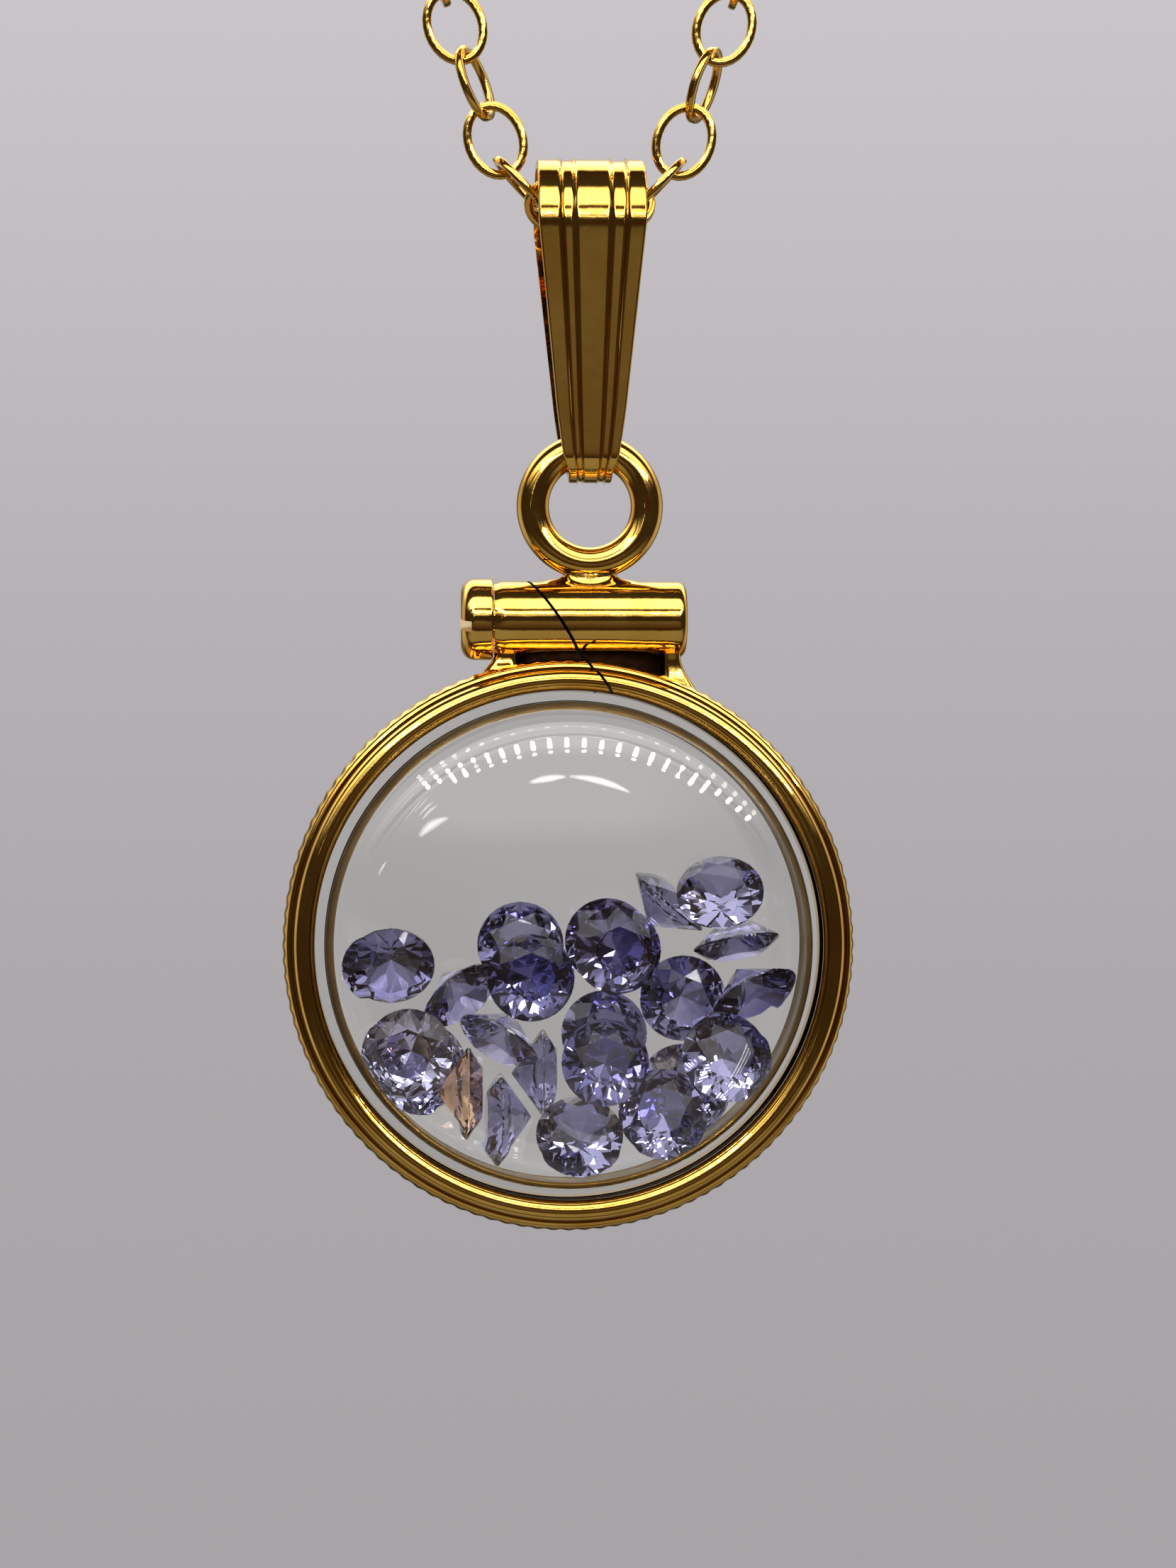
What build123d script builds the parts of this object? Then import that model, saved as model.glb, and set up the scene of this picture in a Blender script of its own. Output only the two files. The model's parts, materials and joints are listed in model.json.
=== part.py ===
from build123d import *
import os
from math import atan2, cos, degrees, pi, radians, sin, sqrt

# Shaker locket on a cable chain, in millimetres.
# The origin is at the nape, where the loop's top hangs. +X is to the right seen from the front,
# +Y is away from the viewer and +Z is up.

# Chain of flat oval links
chain_length = 457
strand_angle = 19.5         # each strand from the vertical
link_pitch = 2.1
link_width = 2.2
link_wire = 0.27            # across the flat wire, in the link's plane
link_thickness = 0.3
link_play = 0.14            # between the wires of two links in line
corner_radius = 1.0         # where the chain turns up beside the bail
bail_slack = 0.3            # the link in the bail and the next one lie this much closer
right_rolls = (-20, 90, 0, 68)               # of the first links from the bail up, in degrees from face-on
left_rolls = (-25, 90, 0, 65)

# Ring clasp at the nape
clasp_diameter = 5.5
clasp_wire = 1.0
eyelet_diameter = 2.2
eyelet_wire = 0.5
eyelet_overlap = 0.35
clasp_play = 0.14

# Bail: a strap folded round the chain and round the ring
strap_thickness = 0.32
bail_loop_radius = 2.3
bail_chain_play = 0.12
bail_ring_play = 0.3
bail_rise = 7.75            # from the fold's middle to the top loop's middle
bail_top_width = 3.73
bail_neck_width = 1.92
bail_lip_width = 1.51
bail_neck_rise = 1.2        # the neck above the fold's middle
ridge_height = 0.1
ridge_width = 0.15
ridge_shares = (-0.31, -0.17, 0.17, 0.31)    # places across the strap, of its width

# Ring soldered on the barrel
ring_diameter = 5.1
ring_wire = 1.13
ring_gap = 0.06             # between ring and barrel, filled by the solder foot
foot_length = 1.9
foot_thickness = 1.0

# Barrel and its screw
barrel_length = 6.68
barrel_diameter = 2.66
barrel_end_fillet = 0.3
barrel_end_wall = 0.8
screw_head_length = 1.13
screw_head_diameter = 2.83
screw_head_fillet = 0.5
screw_shank_diameter = 1.2
screw_play = 0.08
screw_head_gap = 0.06
slot_width = 0.4
slot_depth = 0.4

# Bezel rim
rim_shift = -0.76           # the rim's middle from the ring's middle
rim_radius = 9.9
rim_gap = 0.04              # between rim and barrel, filled by the solder web
belt_half_width = 1.2
belt_bevel = 0.2
belt_depth = 0.4            # from the rim's outside in to the valley beside the bead
reed_count = 112
reed_depth = 0.07
bead_radius = 0.36
bead_offset = 0.19          # the bead's middle out from the belt's face
flange_groove_half_width = 0.9
flange_groove_depth = 0.47
web_length = 4.6
web_thickness = 1.3
slit_width = 0.12
slit_angle = 39
slit_lean = 8               # off square to the view, so that nothing shows through the cut
slit_shift = -0.87          # where the slit crosses the barrel's axis

# Crystals, two glass dishes mouth to mouth
crystal_play = 0.08
crystal_seam = 0.1
flange_height = 0.8
dome_radius = 49
wall_glass = 0.55
dome_glass = 0.75
shoulder_radius = 1.5
inner_shoulder_radius = 0.9

# Round faceted stones, of a size for the chamber, which is as deep as two layers of them need
stones_across = 5.4333      # stone diameters from side to side of the chamber
stones_deep = 1.7333        # stone diameters from dome to dome
stone_sides = 8
girdle_share = 0.05         # heights of girdle, crown and pavilion are shares of the diameter
crown_angle = 33
upper_half_angle = 42
crown_share = 0.15
pavilion_angle = 40.75
lower_half_angle = 42.5
pavilion_share = 0.42

# The stones' places. Across, up and back are in stone diameters from the lowest and foremost point of
# the chamber. The table leans from facing the viewer by lean degrees, toward the clock direction aim,
# counted in degrees from +X toward +Z.
STONES = (
    # name, across, up, back, lean, aim
    ("stone_01", -2.04, 2.48, 0.62, 30, 270),
    ("stone_02", -1.83, 1.50, 0.47, 8, 200),
    ("stone_03", -0.45, 2.35, 0.38, 5, 90),
    ("stone_04", -0.54, 2.70, 1.12, 10, 100),
    ("stone_05", 0.54, 2.66, 0.38, 5, 0),
    ("stone_06", 0.47, 2.74, 1.12, 8, 60),
    ("stone_07", 1.17, 3.20, 0.95, 85, 50),
    ("stone_08", 1.72, 3.32, 0.46, 38, 100),
    ("stone_09", 1.95, 2.72, 1.00, 80, 280),
    ("stone_10", 2.12, 2.13, 0.89, 65, 300),
    ("stone_11", 1.78, 1.44, 0.52, 15, 60),
    ("stone_12", 1.06, 0.80, 0.56, 15, 120),
    ("stone_13", 0.12, 0.54, 0.65, 35, 90),
    ("stone_14", 1.34, 2.08, 1.15, 8, 300),
    ("stone_15", 0.40, 1.38, 0.38, 8, 90),
    ("stone_16", 1.33, 1.05, 1.13, 5, 20),
    ("stone_17", -0.28, 1.22, 1.13, 88, 0),
    ("stone_18", -0.78, 0.72, 1.05, 88, 180),
    ("stone_19", -1.15, 1.04, 0.64, 88, 0),
    ("stone_20", -1.66, 1.30, 1.12, 10, 20),
    ("stone_21", -1.24, 2.13, 0.78, 60, 310),
    ("stone_22", -0.81, 1.63, 0.58, 70, 240),
    ("stone_23", 0.43, 1.67, 1.15, 8, 45),
)

# The chain's centre line on the right: level through the bail, a corner, the strand and the neck's arc
strand_heading = radians(90 - strand_angle)
link_length = link_pitch + link_play + 2 * link_wire
clasp_half_span = (clasp_diameter + eyelet_diameter - eyelet_overlap - clasp_wire - eyelet_wire
                   + link_play) / 2 - clasp_play
link_pairs = 2 * round((chain_length / 2 - clasp_half_span) / link_pitch / 2) + 1
bail_run = link_pitch - bail_slack
corner_length = corner_radius * strand_heading
free_length = (link_pairs - 1) * link_pitch - bail_slack - corner_length
neck_radius = (
    bail_run - clasp_half_span + corner_radius * sin(strand_heading) + cos(strand_heading) * free_length
) / (sin(strand_heading) + cos(strand_heading) * (pi - strand_heading))
strand_length = free_length - neck_radius * (pi - strand_heading)
corner_rise = corner_radius * (1 - cos(strand_heading))
strand_rise = strand_length * sin(strand_heading)
loop_height = corner_rise + strand_rise + neck_radius * (1 + cos(strand_heading))


def chain_joint(number):
    """Gives X and the height above the bail's links of one crossing of the right half."""
    along = number * link_pitch - bail_slack * min(number, 2) - bail_run
    if along <= 0:
        return bail_run + along, 0
    if along <= corner_length:
        turned = along / corner_radius
        return bail_run + corner_radius * sin(turned), corner_radius * (1 - cos(turned))
    along -= corner_length
    foot = bail_run + corner_radius * sin(strand_heading)
    if along <= strand_length:
        return foot + along * cos(strand_heading), corner_rise + along * sin(strand_heading)
    heading = strand_heading + (along - strand_length) / neck_radius
    return clasp_half_span + neck_radius * sin(heading), loop_height - neck_radius * (1 + cos(heading))


def link_place(step, rolls):
    """Gives the location of one link, counted from the bail up as if on the right."""
    x1, z1 = chain_joint(step)
    x2, z2 = chain_joint(step + 1)
    roll = rolls[step] if step < len(rolls) else 90 * (step % 2)
    middle = Location(((x1 + x2) / 2, 0, (z1 + z2) / 2 - loop_height))
    turn = Location((0, 0, 0), (0, -degrees(atan2(z2 - z1, x2 - x1)), 0))
    return middle * turn * Location((0, 0, 0), (roll, 0, 0))


with BuildPart() as link:
    with BuildSketch(Plane.XZ):
        SlotOverall(link_length, link_width)
        SlotOverall(link_length - 2 * link_wire, link_width - 2 * link_wire, mode=Mode.SUBTRACT)
    extrude(amount=link_thickness / 2, both=True)

half_turn = Location((0, 0, 0), (0, 0, 180))
right_links = [link.part.moved(link_place(step, right_rolls)) for step in range(link_pairs)]
left_links = [link.part.moved(half_turn * link_place(step, left_rolls)) for step in range(link_pairs)]
chain = Compound(label="chain", children=right_links + left_links)

# Clasp: a ring lying flat at the nape, with an eyelet for the chain's left end
clasp_right = clasp_half_span - link_play / 2 + clasp_play + clasp_wire
clasp_left = -(clasp_half_span - link_play / 2 + clasp_play + eyelet_wire)
with BuildPart() as clasp:
    with Locations((clasp_right - clasp_diameter / 2, 0, 0)):
        Torus((clasp_diameter - clasp_wire) / 2, clasp_wire / 2)
    with Locations((clasp_left + eyelet_diameter / 2, 0, 0)):
        Torus((eyelet_diameter - eyelet_wire) / 2, eyelet_wire / 2)
clasp.part.label = "clasp"

# Heights, from the chain's line in the bail downward
chain_height = -loop_height
loop_inner_radius = bail_loop_radius - strap_thickness
bail_loop_height = chain_height - (loop_inner_radius - link_width / 2 - bail_chain_play)
fold_height = bail_loop_height - bail_rise
fold_inner_radius = ring_wire / 2 + bail_ring_play
ring_bend_radius = (ring_diameter - ring_wire) / 2
ring_height = fold_height - ring_bend_radius
barrel_height = ring_height - ring_diameter / 2 - ring_gap - barrel_diameter / 2
bead_bend_radius = rim_radius - belt_depth - bead_radius
rim_height = barrel_height - barrel_diameter / 2 - rim_gap - rim_radius
rim_centre = (rim_shift, 0, rim_height)


def bail_band(growth):
    """Builds the strap's closed side profile, grown outward, as a bar as wide as the strap."""
    with BuildPart() as band:
        with BuildSketch(Plane.YZ):
            with Locations((0, bail_loop_height)):
                Circle(bail_loop_radius + growth)
            with Locations((0, fold_height)):
                Circle(fold_inner_radius + strap_thickness + growth)
            make_hull()
        extrude(amount=bail_top_width, both=True)
    return band.part


def bail_strip(left, right, margin):
    """Builds a tapered strip through the bail from front to back, between two shares of its width."""
    rows = (
        (bail_loop_height + 2 * bail_loop_radius, bail_top_width),
        (bail_loop_height, bail_top_width),
        (fold_height + bail_neck_rise, bail_neck_width),
        (fold_height, bail_lip_width),
        (fold_height - 2 * fold_inner_radius, bail_lip_width),
    )
    with BuildPart() as strip:
        with BuildSketch(Plane.XZ):
            with BuildLine():
                Polyline(
                    *[(left * width - margin, height) for height, width in rows],
                    *[(right * width + margin, height) for height, width in reversed(rows)],
                    close=True,
                )
            make_face()
        extrude(amount=2 * bail_loop_radius, both=True)
    return strip.part


with BuildPart() as ridges:
    for share in ridge_shares:
        add(bail_strip(share, share, ridge_width / 2))
    add(bail_band(ridge_height), mode=Mode.INTERSECT)

with BuildPart() as bail:
    add(bail_band(0))
    add(bail_strip(-0.5, 0.5, 0), mode=Mode.INTERSECT)
    add(ridges.part)
    add(bail_band(-strap_thickness), mode=Mode.SUBTRACT)
bail.part.label = "bail"

# Bezel: the rim's section is revolved, reeded, and joined to the barrel and the ring
rim_plane = Plane(origin=rim_centre, x_dir=(1, 0, 0), z_dir=(0, 0, 1))
rim_axis = Axis(rim_centre, (0, 1, 0))
valley_radius = rim_radius - belt_depth
lip_radius = valley_radius - 2 * bead_radius
groove_radius = lip_radius + flange_groove_depth
bead_height = belt_half_width + bead_offset
bore_radius = screw_shank_diameter / 2 + screw_play
barrel_plane = Plane(origin=(-barrel_length / 2, 0, barrel_height), z_dir=(1, 0, 0))
front_plane = Plane(origin=rim_centre, x_dir=(1, 0, 0), z_dir=(0, -1, 0))

with BuildPart() as reeded_disc:
    with BuildSketch(front_plane):
        with BuildLine():
            Polyline(
                *[
                    (
                        (rim_radius - reed_depth * (edge % 2)) * cos(pi * edge / reed_count),
                        (rim_radius - reed_depth * (edge % 2)) * sin(pi * edge / reed_count),
                    )
                    for edge in range(2 * reed_count)
                ],
                close=True,
            )
        make_face()
    extrude(amount=2 * bead_height, both=True)

with BuildPart() as barrel:
    with BuildSketch(barrel_plane):
        Circle(barrel_diameter / 2)
    extrude(amount=barrel_length)
    fillet(barrel.edges().sort_by(Axis.X)[-1], barrel_end_fillet)

web_height = barrel_height - (rim_height + groove_radius)
foot_height = ring_height - ring_bend_radius - barrel_height
with BuildPart() as bezel:
    with BuildSketch(rim_plane):
        with BuildLine():
            Polyline(
                (groove_radius, 0),
                (groove_radius, flange_groove_half_width),
                (lip_radius, flange_groove_half_width),
                (lip_radius, bead_height),
            )
            ThreePointArc(
                (lip_radius, bead_height),
                (bead_bend_radius, bead_height + bead_radius),
                (valley_radius, bead_height),
            )
            Polyline(
                (valley_radius, bead_height),
                (valley_radius, belt_half_width),
                (rim_radius - belt_bevel, belt_half_width),
                (rim_radius, belt_half_width - belt_bevel),
                (rim_radius, 0),
                (groove_radius, 0),
            )
        make_face()
        mirror(about=Plane.XZ)
    revolve(axis=rim_axis)
    add(reeded_disc.part, mode=Mode.INTERSECT)
    with Locations((0, 0, barrel_height - web_height / 2)):
        Box(web_length, web_thickness, web_height)
    with Locations((0, 0, barrel_height + foot_height / 2)):
        Box(foot_length, foot_thickness, foot_height)
    add(barrel.part)
    with Locations(Location((0, 0, ring_height), (90, 0, 0))):
        Torus(ring_bend_radius, ring_wire / 2)
    with BuildSketch(barrel_plane):
        Circle(bore_radius)
    extrude(amount=barrel_length - barrel_end_wall, mode=Mode.SUBTRACT)
    with Locations(Location((slit_shift, 0, barrel_height), (0, -slit_angle, slit_lean))):
        Box(slit_width, 2 * barrel_diameter, 3 * barrel_diameter, mode=Mode.SUBTRACT)
bezel.part.label = "bezel"

# Screw: a shank in the barrel's bore and a domed, slotted head at its left end
head_plane = Plane(origin=(-barrel_length / 2 - screw_head_gap, 0, barrel_height), z_dir=(-1, 0, 0))
shank_length = barrel_length - barrel_end_wall - screw_play + screw_head_gap
with BuildPart() as screw:
    with BuildSketch(head_plane):
        Circle(screw_head_diameter / 2)
    extrude(amount=screw_head_length)
    fillet(screw.edges().sort_by(Axis.X)[0], screw_head_fillet)
    with BuildSketch(head_plane):
        Circle(screw_shank_diameter / 2)
    extrude(amount=-shank_length)
    with BuildSketch(head_plane.offset(screw_head_length)):
        Rectangle(slot_width, 2 * screw_head_diameter)
    extrude(amount=-slot_depth, mode=Mode.SUBTRACT)
screw.part.label = "screw"

# Crystals: a flange in the rim's groove, a straight wall through the lip, a shoulder and a low dome
flange_radius = groove_radius - crystal_play
wall_radius = lip_radius - crystal_play
chamber_radius = wall_radius - wall_glass
stone_diameter = 2 * chamber_radius / stones_across
chamber_half_depth = stones_deep * stone_diameter / 2
dome_height = chamber_half_depth + dome_glass


def dome(height, radius):
    """Gives a point of a dome, as its distance from the axis and its height."""
    return radius, height - dome_radius + sqrt(dome_radius**2 - radius**2)


def crystal(name, side):
    """Builds one dish, with side -1 for the front and 1 for the back."""
    wall_top = dome(dome_height, wall_radius)
    chamber_top = dome(chamber_half_depth, chamber_radius)
    with BuildPart() as dish:
        with BuildSketch(rim_plane) as dish_section:
            with BuildLine():
                Polyline(
                    (chamber_radius, crystal_seam / 2),
                    (flange_radius, crystal_seam / 2),
                    (flange_radius, flange_height),
                    (wall_radius, flange_height),
                    wall_top,
                )
                ThreePointArc(wall_top, dome(dome_height, wall_radius / 2), (0, dome_height))
                Line((0, dome_height), (0, chamber_half_depth))
                ThreePointArc(
                    (0, chamber_half_depth),
                    dome(chamber_half_depth, chamber_radius / 2),
                    chamber_top,
                )
                Line(chamber_top, (chamber_radius, crystal_seam / 2))
            make_face()
            corners = dish_section.vertices()
            fillet(corners.sort_by_distance(wall_top)[0], shoulder_radius)
            corners = dish_section.vertices()
            fillet(corners.sort_by_distance(chamber_top)[0], inner_shoulder_radius)
            if side < 0:
                mirror(about=Plane.XZ, mode=Mode.REPLACE)
        revolve(axis=rim_axis)
    dish.part.label = name
    return dish.part


# Stones: a table, main and half facets, a girdle and a pavilion, with the table toward +Z
half_sides = 2 * stone_sides
stone_radius = stone_diameter / 2
girdle_height = girdle_share * stone_diameter


def facets(sides, height, angle):
    """Builds a pyramid of facets on the girdle, upward, or downward for a negative height."""
    turned = 0 if sides == half_sides else 180 / sides
    base = girdle_height / 2 if height > 0 else -girdle_height / 2
    with BuildPart() as pyramid:
        with BuildSketch(Plane.XY.offset(base)):
            RegularPolygon(stone_radius, sides, major_radius=sides == half_sides, rotation=turned)
        extrude(amount=height, taper=90 - angle)
    return pyramid.part


with BuildPart() as crown:
    add(facets(half_sides, crown_share * stone_diameter, upper_half_angle))
    add(facets(stone_sides, crown_share * stone_diameter, crown_angle), mode=Mode.INTERSECT)

with BuildPart() as pavilion:
    add(facets(half_sides, -pavilion_share * stone_diameter, lower_half_angle))
    add(facets(stone_sides, -pavilion_share * stone_diameter, pavilion_angle), mode=Mode.INTERSECT)

with BuildPart() as cut_stone:
    with BuildSketch(Plane.XY.offset(-girdle_height / 2)):
        RegularPolygon(stone_radius, half_sides)
    extrude(amount=girdle_height)
    add(crown.part)
    add(pavilion.part)


def stone(name, across, up, back, lean, aim):
    """Lays one stone in the chamber."""
    table_way = (
        sin(radians(lean)) * cos(radians(aim)),
        -cos(radians(lean)),
        sin(radians(lean)) * sin(radians(aim)),
    )
    middle = (
        rim_shift + across * stone_diameter,
        back * stone_diameter - chamber_half_depth,
        rim_height - chamber_radius + up * stone_diameter,
    )
    with BuildPart() as laid:
        with Locations(Plane(origin=middle, z_dir=table_way).location):
            add(cut_stone.part)
    laid.part.label = name
    return laid.part


pieces = [
    chain,
    clasp.part,
    bail.part,
    bezel.part,
    screw.part,
    crystal("crystal_front", -1),
    crystal("crystal_back", 1),
    *[stone(*row) for row in STONES],
]
os.makedirs("parts", exist_ok=True)
for piece in pieces:
    export_step(piece, f"parts/{piece.label}.step")
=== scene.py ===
import json
import math

import bmesh
import bpy
import numpy as np
from bpy.props import FloatProperty, FloatVectorProperty, IntProperty, PointerProperty
from mathutils import Matrix, Vector


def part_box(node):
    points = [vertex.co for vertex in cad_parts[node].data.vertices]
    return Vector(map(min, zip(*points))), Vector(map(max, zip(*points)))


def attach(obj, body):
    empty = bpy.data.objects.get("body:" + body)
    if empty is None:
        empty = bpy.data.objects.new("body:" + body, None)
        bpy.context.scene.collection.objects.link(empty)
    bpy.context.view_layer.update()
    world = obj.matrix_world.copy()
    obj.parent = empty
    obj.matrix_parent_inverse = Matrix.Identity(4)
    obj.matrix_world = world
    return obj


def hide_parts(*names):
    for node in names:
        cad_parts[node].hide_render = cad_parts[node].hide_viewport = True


bl_info = {
    "name": "Shaker locket",
    "version": (1, 0, 0),
    "blender": (4, 5, 0),
    "location": "View3D > Sidebar > Locket",
    "description": "Dresses a shaker locket necklace: chain, bail, screw-closed rim, crystals and loose stones",
    "category": "Object",
}

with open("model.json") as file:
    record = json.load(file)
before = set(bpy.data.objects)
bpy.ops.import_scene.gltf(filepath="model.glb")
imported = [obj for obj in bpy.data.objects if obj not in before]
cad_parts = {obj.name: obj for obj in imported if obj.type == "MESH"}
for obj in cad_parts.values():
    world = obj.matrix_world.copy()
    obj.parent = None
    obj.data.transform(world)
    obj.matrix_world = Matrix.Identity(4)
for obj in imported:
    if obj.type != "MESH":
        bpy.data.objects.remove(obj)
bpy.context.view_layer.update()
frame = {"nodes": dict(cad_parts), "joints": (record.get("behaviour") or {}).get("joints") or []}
JOINTS = {joint["name"]: joint for joint in frame["joints"]}
CHAIN_AXIS = Vector(JOINTS["bail_swing"]["pos_m"])
RING_CENTRE = Vector(JOINTS["locket_swing"]["pos_m"])
BARREL_CENTRE = Vector(JOINTS["screw_out"]["pos_m"])
CRYSTAL_LOW, CRYSTAL_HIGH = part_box("crystal_front")
RIM_CENTRE = Vector(((CRYSTAL_LOW.x + CRYSTAL_HIGH.x) / 2, 0, (CRYSTAL_LOW.z + CRYSTAL_HIGH.z) / 2))
STONE_NODES = sorted(name for name in frame["nodes"] if name.startswith("stone_"))
UP = Vector((0, 0, 1))
MERGE = 1e-7        # points this close are one
ON_AXIS = 1e-6      # radius of the points beside an axis


def length(name, default, description):
    """A size in metres for a property group."""
    return FloatProperty(name=name, description=description, default=default, min=0, unit="LENGTH", precision=5)


def angle(name, degrees, description):
    """An angle for a property group."""
    return FloatProperty(name=name, description=description, default=math.radians(degrees), subtype="ANGLE")


def colour(name, default, description):
    """A colour for a property group."""
    return FloatVectorProperty(
        name=name, description=description, default=default, size=3, min=0, max=1, subtype="COLOR"
    )


class ChainSizes(bpy.types.PropertyGroup):
    link_length: length("Link length", 0.00278, "Outer length of one link")
    link_width: length("Link width", 0.0022, "Outer width of one link")
    wire_width: length("Wire width", 0.00031, "Flat wire, across the link's plane")
    wire_height: length("Wire height", 0.00026, "Flat wire, out of the link's plane")
    wire_round: length("Wire rounding", 0.00004, "Rounding of the flat wire's edges")
    path_steps: IntProperty(name="Link steps", description="Steps round a link", default=28, min=12)


class BailSizes(bpy.types.PropertyGroup):
    strap: length("Strap", 0.00032, "Thickness of the strap")
    loop_radius: length("Loop radius", 0.0023, "Outside of the loop round the chain")
    loop_drop: length("Loop drop", 0.00076, "The loop's middle below the chain")
    fold_radius: length("Fold radius", 0.001185, "Outside of the fold round the ring")
    top_width: length("Top width", 0.00373, "Width at the loop")
    neck_width: length("Neck width", 0.00238, "Width above the fold")
    fold_width: length("Fold width", 0.00195, "Width beside the ring's wire")
    fold_drop: length("Fold drop", 0.0003, "Where the fold width is, under the fold's middle")
    lip_width: length("Lip width", 0.00151, "Width inside the ring")
    lip_drop: length("Lip drop", 0.00092, "Where the lip width starts, under the fold's middle")
    neck_rise: length("Neck rise", 0.0012, "The neck above the fold's middle")
    ridge: length("Ridge", 0.00007, "Height of the raised lines")
    channel: length("Channel", 0.00004, "Depth between the raised lines")


class RimSizes(bpy.types.PropertyGroup):
    radius: length("Rim radius", 0.0099, "Outside of the reeded belt")
    belt_half: length("Belt half width", 0.0012, "Half of the belt, front to back")
    belt_cone: length("Belt cone", 0.00055, "Fall of the belt's face to its reeds")
    belt_depth: length("Belt depth", 0.0004, "From the outside in to the valley")
    bead: length("Bead", 0.00036, "Radius of the half-round bead")
    bead_offset: length("Bead offset", 0.00019, "The bead's middle out from the belt's face")
    valley_width: length("Valley width", 0.00007, "Gap between bead and belt")
    valley_depth: length("Valley depth", 0.0003, "The gap down from the belt's face")
    groove_half: length("Groove half width", 0.0009, "Half of the crystals' groove")
    groove_depth: length("Groove depth", 0.00047, "The groove out from the lip")
    reeds: IntProperty(name="Reeds", description="Reeds round the belt", default=112, min=8)
    reed_depth: length("Reed depth", 0.00004, "Depth between two reeds")


class BarrelSizes(bpy.types.PropertyGroup):
    ring_radius: length("Ring radius", 0.001985, "Bend radius of the ring's wire")
    ring_wire: length("Ring wire", 0.00113, "Thickness of the ring's wire")
    length: length("Barrel length", 0.00668, "Length of the barrel")
    diameter: length("Barrel diameter", 0.00266, "Diameter of the barrel")
    edge: length("Barrel edge", 0.0003, "Rounding of the closed end")
    end_wall: length("End wall", 0.0008, "Metal past the bore")
    bore: length("Bore", 0.00136, "Diameter of the bore")
    # the seam's middle is a near-black slab: painted shade in the gap under the barrel
    web_length: length("Web length", 0.0050, "Dark seam between barrel and rim")
    web_flare: length("Web flare", 0.0008, "Solder's spread at its ends, along the rim")
    web_width: length("Web width", 0.0014, "Solder seam, front to back")
    slit_width: length("Slit width", 0.00010, "Width of the saw cut")
    slit_shift: FloatProperty(
        name="Slit shift", description="Where the cut crosses the barrel", default=-0.00132
    )
    slit_angle: angle("Slit angle", 34, "Lean of the saw cut")
    slit_lean: angle("Slit lean", 8, "Turn of the cut off square to the view")
    head_length: length("Head length", 0.00113, "Length of the screw's head")
    head_diameter: length("Head diameter", 0.00283, "Diameter of the screw's head")
    head_dome: length("Head dome", 0.0005, "Rounding of the head")
    head_gap: length("Head gap", 0.00003, "Gap between head and barrel")
    shank: length("Shank", 0.0012, "Diameter of the screw's shank")
    shank_length: length("Shank length", 0.00586, "Length of the shank")
    slot_width: length("Slot width", 0.00036, "Driver slot, across")
    slot_depth: length("Slot depth", 0.00036, "Driver slot, deep")


class CrystalSizes(bpy.types.PropertyGroup):
    play: length("Play", 0.00008, "Gap between glass and metal")
    seam: length("Seam", 0.0001, "Gap between the two dishes")
    flange: length("Flange", 0.0008, "Height of the flange")
    shelf: length("Shelf", 0.0003, "Flat of the flange inside the metal's lip")
    # height of the painted reflection band of gold on the chamber's wall
    painted_gold_reflection: length("Painted gold reflection", 0.00168, "Height of the film on the chamber's wall")
    height: length("Height", 0.00335, "Height of the dome over the middle plane")
    wall: length("Wall", 0.00031, "Glass in the side wall")
    face: length("Face", 0.00075, "Glass in the dome")
    dome_radius: length("Dome radius", 0.049, "Bend of the dome")
    shoulder: length("Shoulder", 0.0015, "Rounding between dome and wall")
    inner_shoulder: length("Inner shoulder", 0.0009, "Rounding inside")


class StoneSizes(bpy.types.PropertyGroup):
    diameter: length("Diameter", 0.003, "Diameter of a stone")
    girdle: length("Girdle", 0.00009, "Height of the girdle")
    table: FloatProperty(name="Table", description="Table, share of the diameter", default=0.56)
    crown: angle("Crown angle", 33, "Crown mains")
    pavilion: angle("Pavilion angle", 35, "Pavilion mains")


class Finishes(bpy.types.PropertyGroup):
    gold: colour("Gold", (0.86, 0.53, 0.12), "Polished gold")
    gold_deep: colour("Deep gold", (0.70, 0.38, 0.06), "Gold in its warmer patches")
    # brown-gold band on the chamber's wall: a painted reflection of the rim's gold seen through the glass
    painted_gold_reflection: colour("Painted gold reflection", (0.46, 0.33, 0.17), "Brown-gold band on the chamber's wall")
    # near-black painted shade for the inside of the saw cut and the seam's gap under the barrel
    painted_shade: colour("Painted shade", (0.010, 0.004, 0.002), "Inside of the saw cut and of the seam")
    stone_pale: colour("Pale stone", (0.60, 0.59, 0.84), "Lightest stones")
    stone_deep: colour("Deep stone", (0.06, 0.055, 0.25), "Darkest stones")
    stone_brown: colour("Brown stone", (0.72, 0.42, 0.22), "The one warm stone")


class StageSizes(bpy.types.PropertyGroup):
    distance: length("Distance", 0.160, "Camera to the locket's plane")
    view_height: length("View height", 0.0545, "Height of the picture at the locket")
    azimuth: angle("Azimuth", -3, "Camera's turn")
    aim_across: FloatProperty(name="Aim across", description="Picture's middle from the ring", default=-0.00006)
    aim_down: length("Aim down", 0.009655, "Picture's middle under the ring")
    floor_drop: length("Floor drop", 0.75, "Floor under the nape")
    floor_radius: length("Floor radius", 3.0, "Radius of the floor")
    lamp_distance: length("Lamp distance", 0.36, "The plane of lamps in front of the rim")
    dot_radius: length("Dot radius", 0.00678, "From the rim's axis to the lowest dot of light on the crystal")
    dot_gap: length("Dot gap", 0.00031, "Between the two rows of dots, at their lowest")
    dot_size: length("Dot size", 0.00009, "Radius of a dot of light on the crystal")


# Meshes

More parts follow.
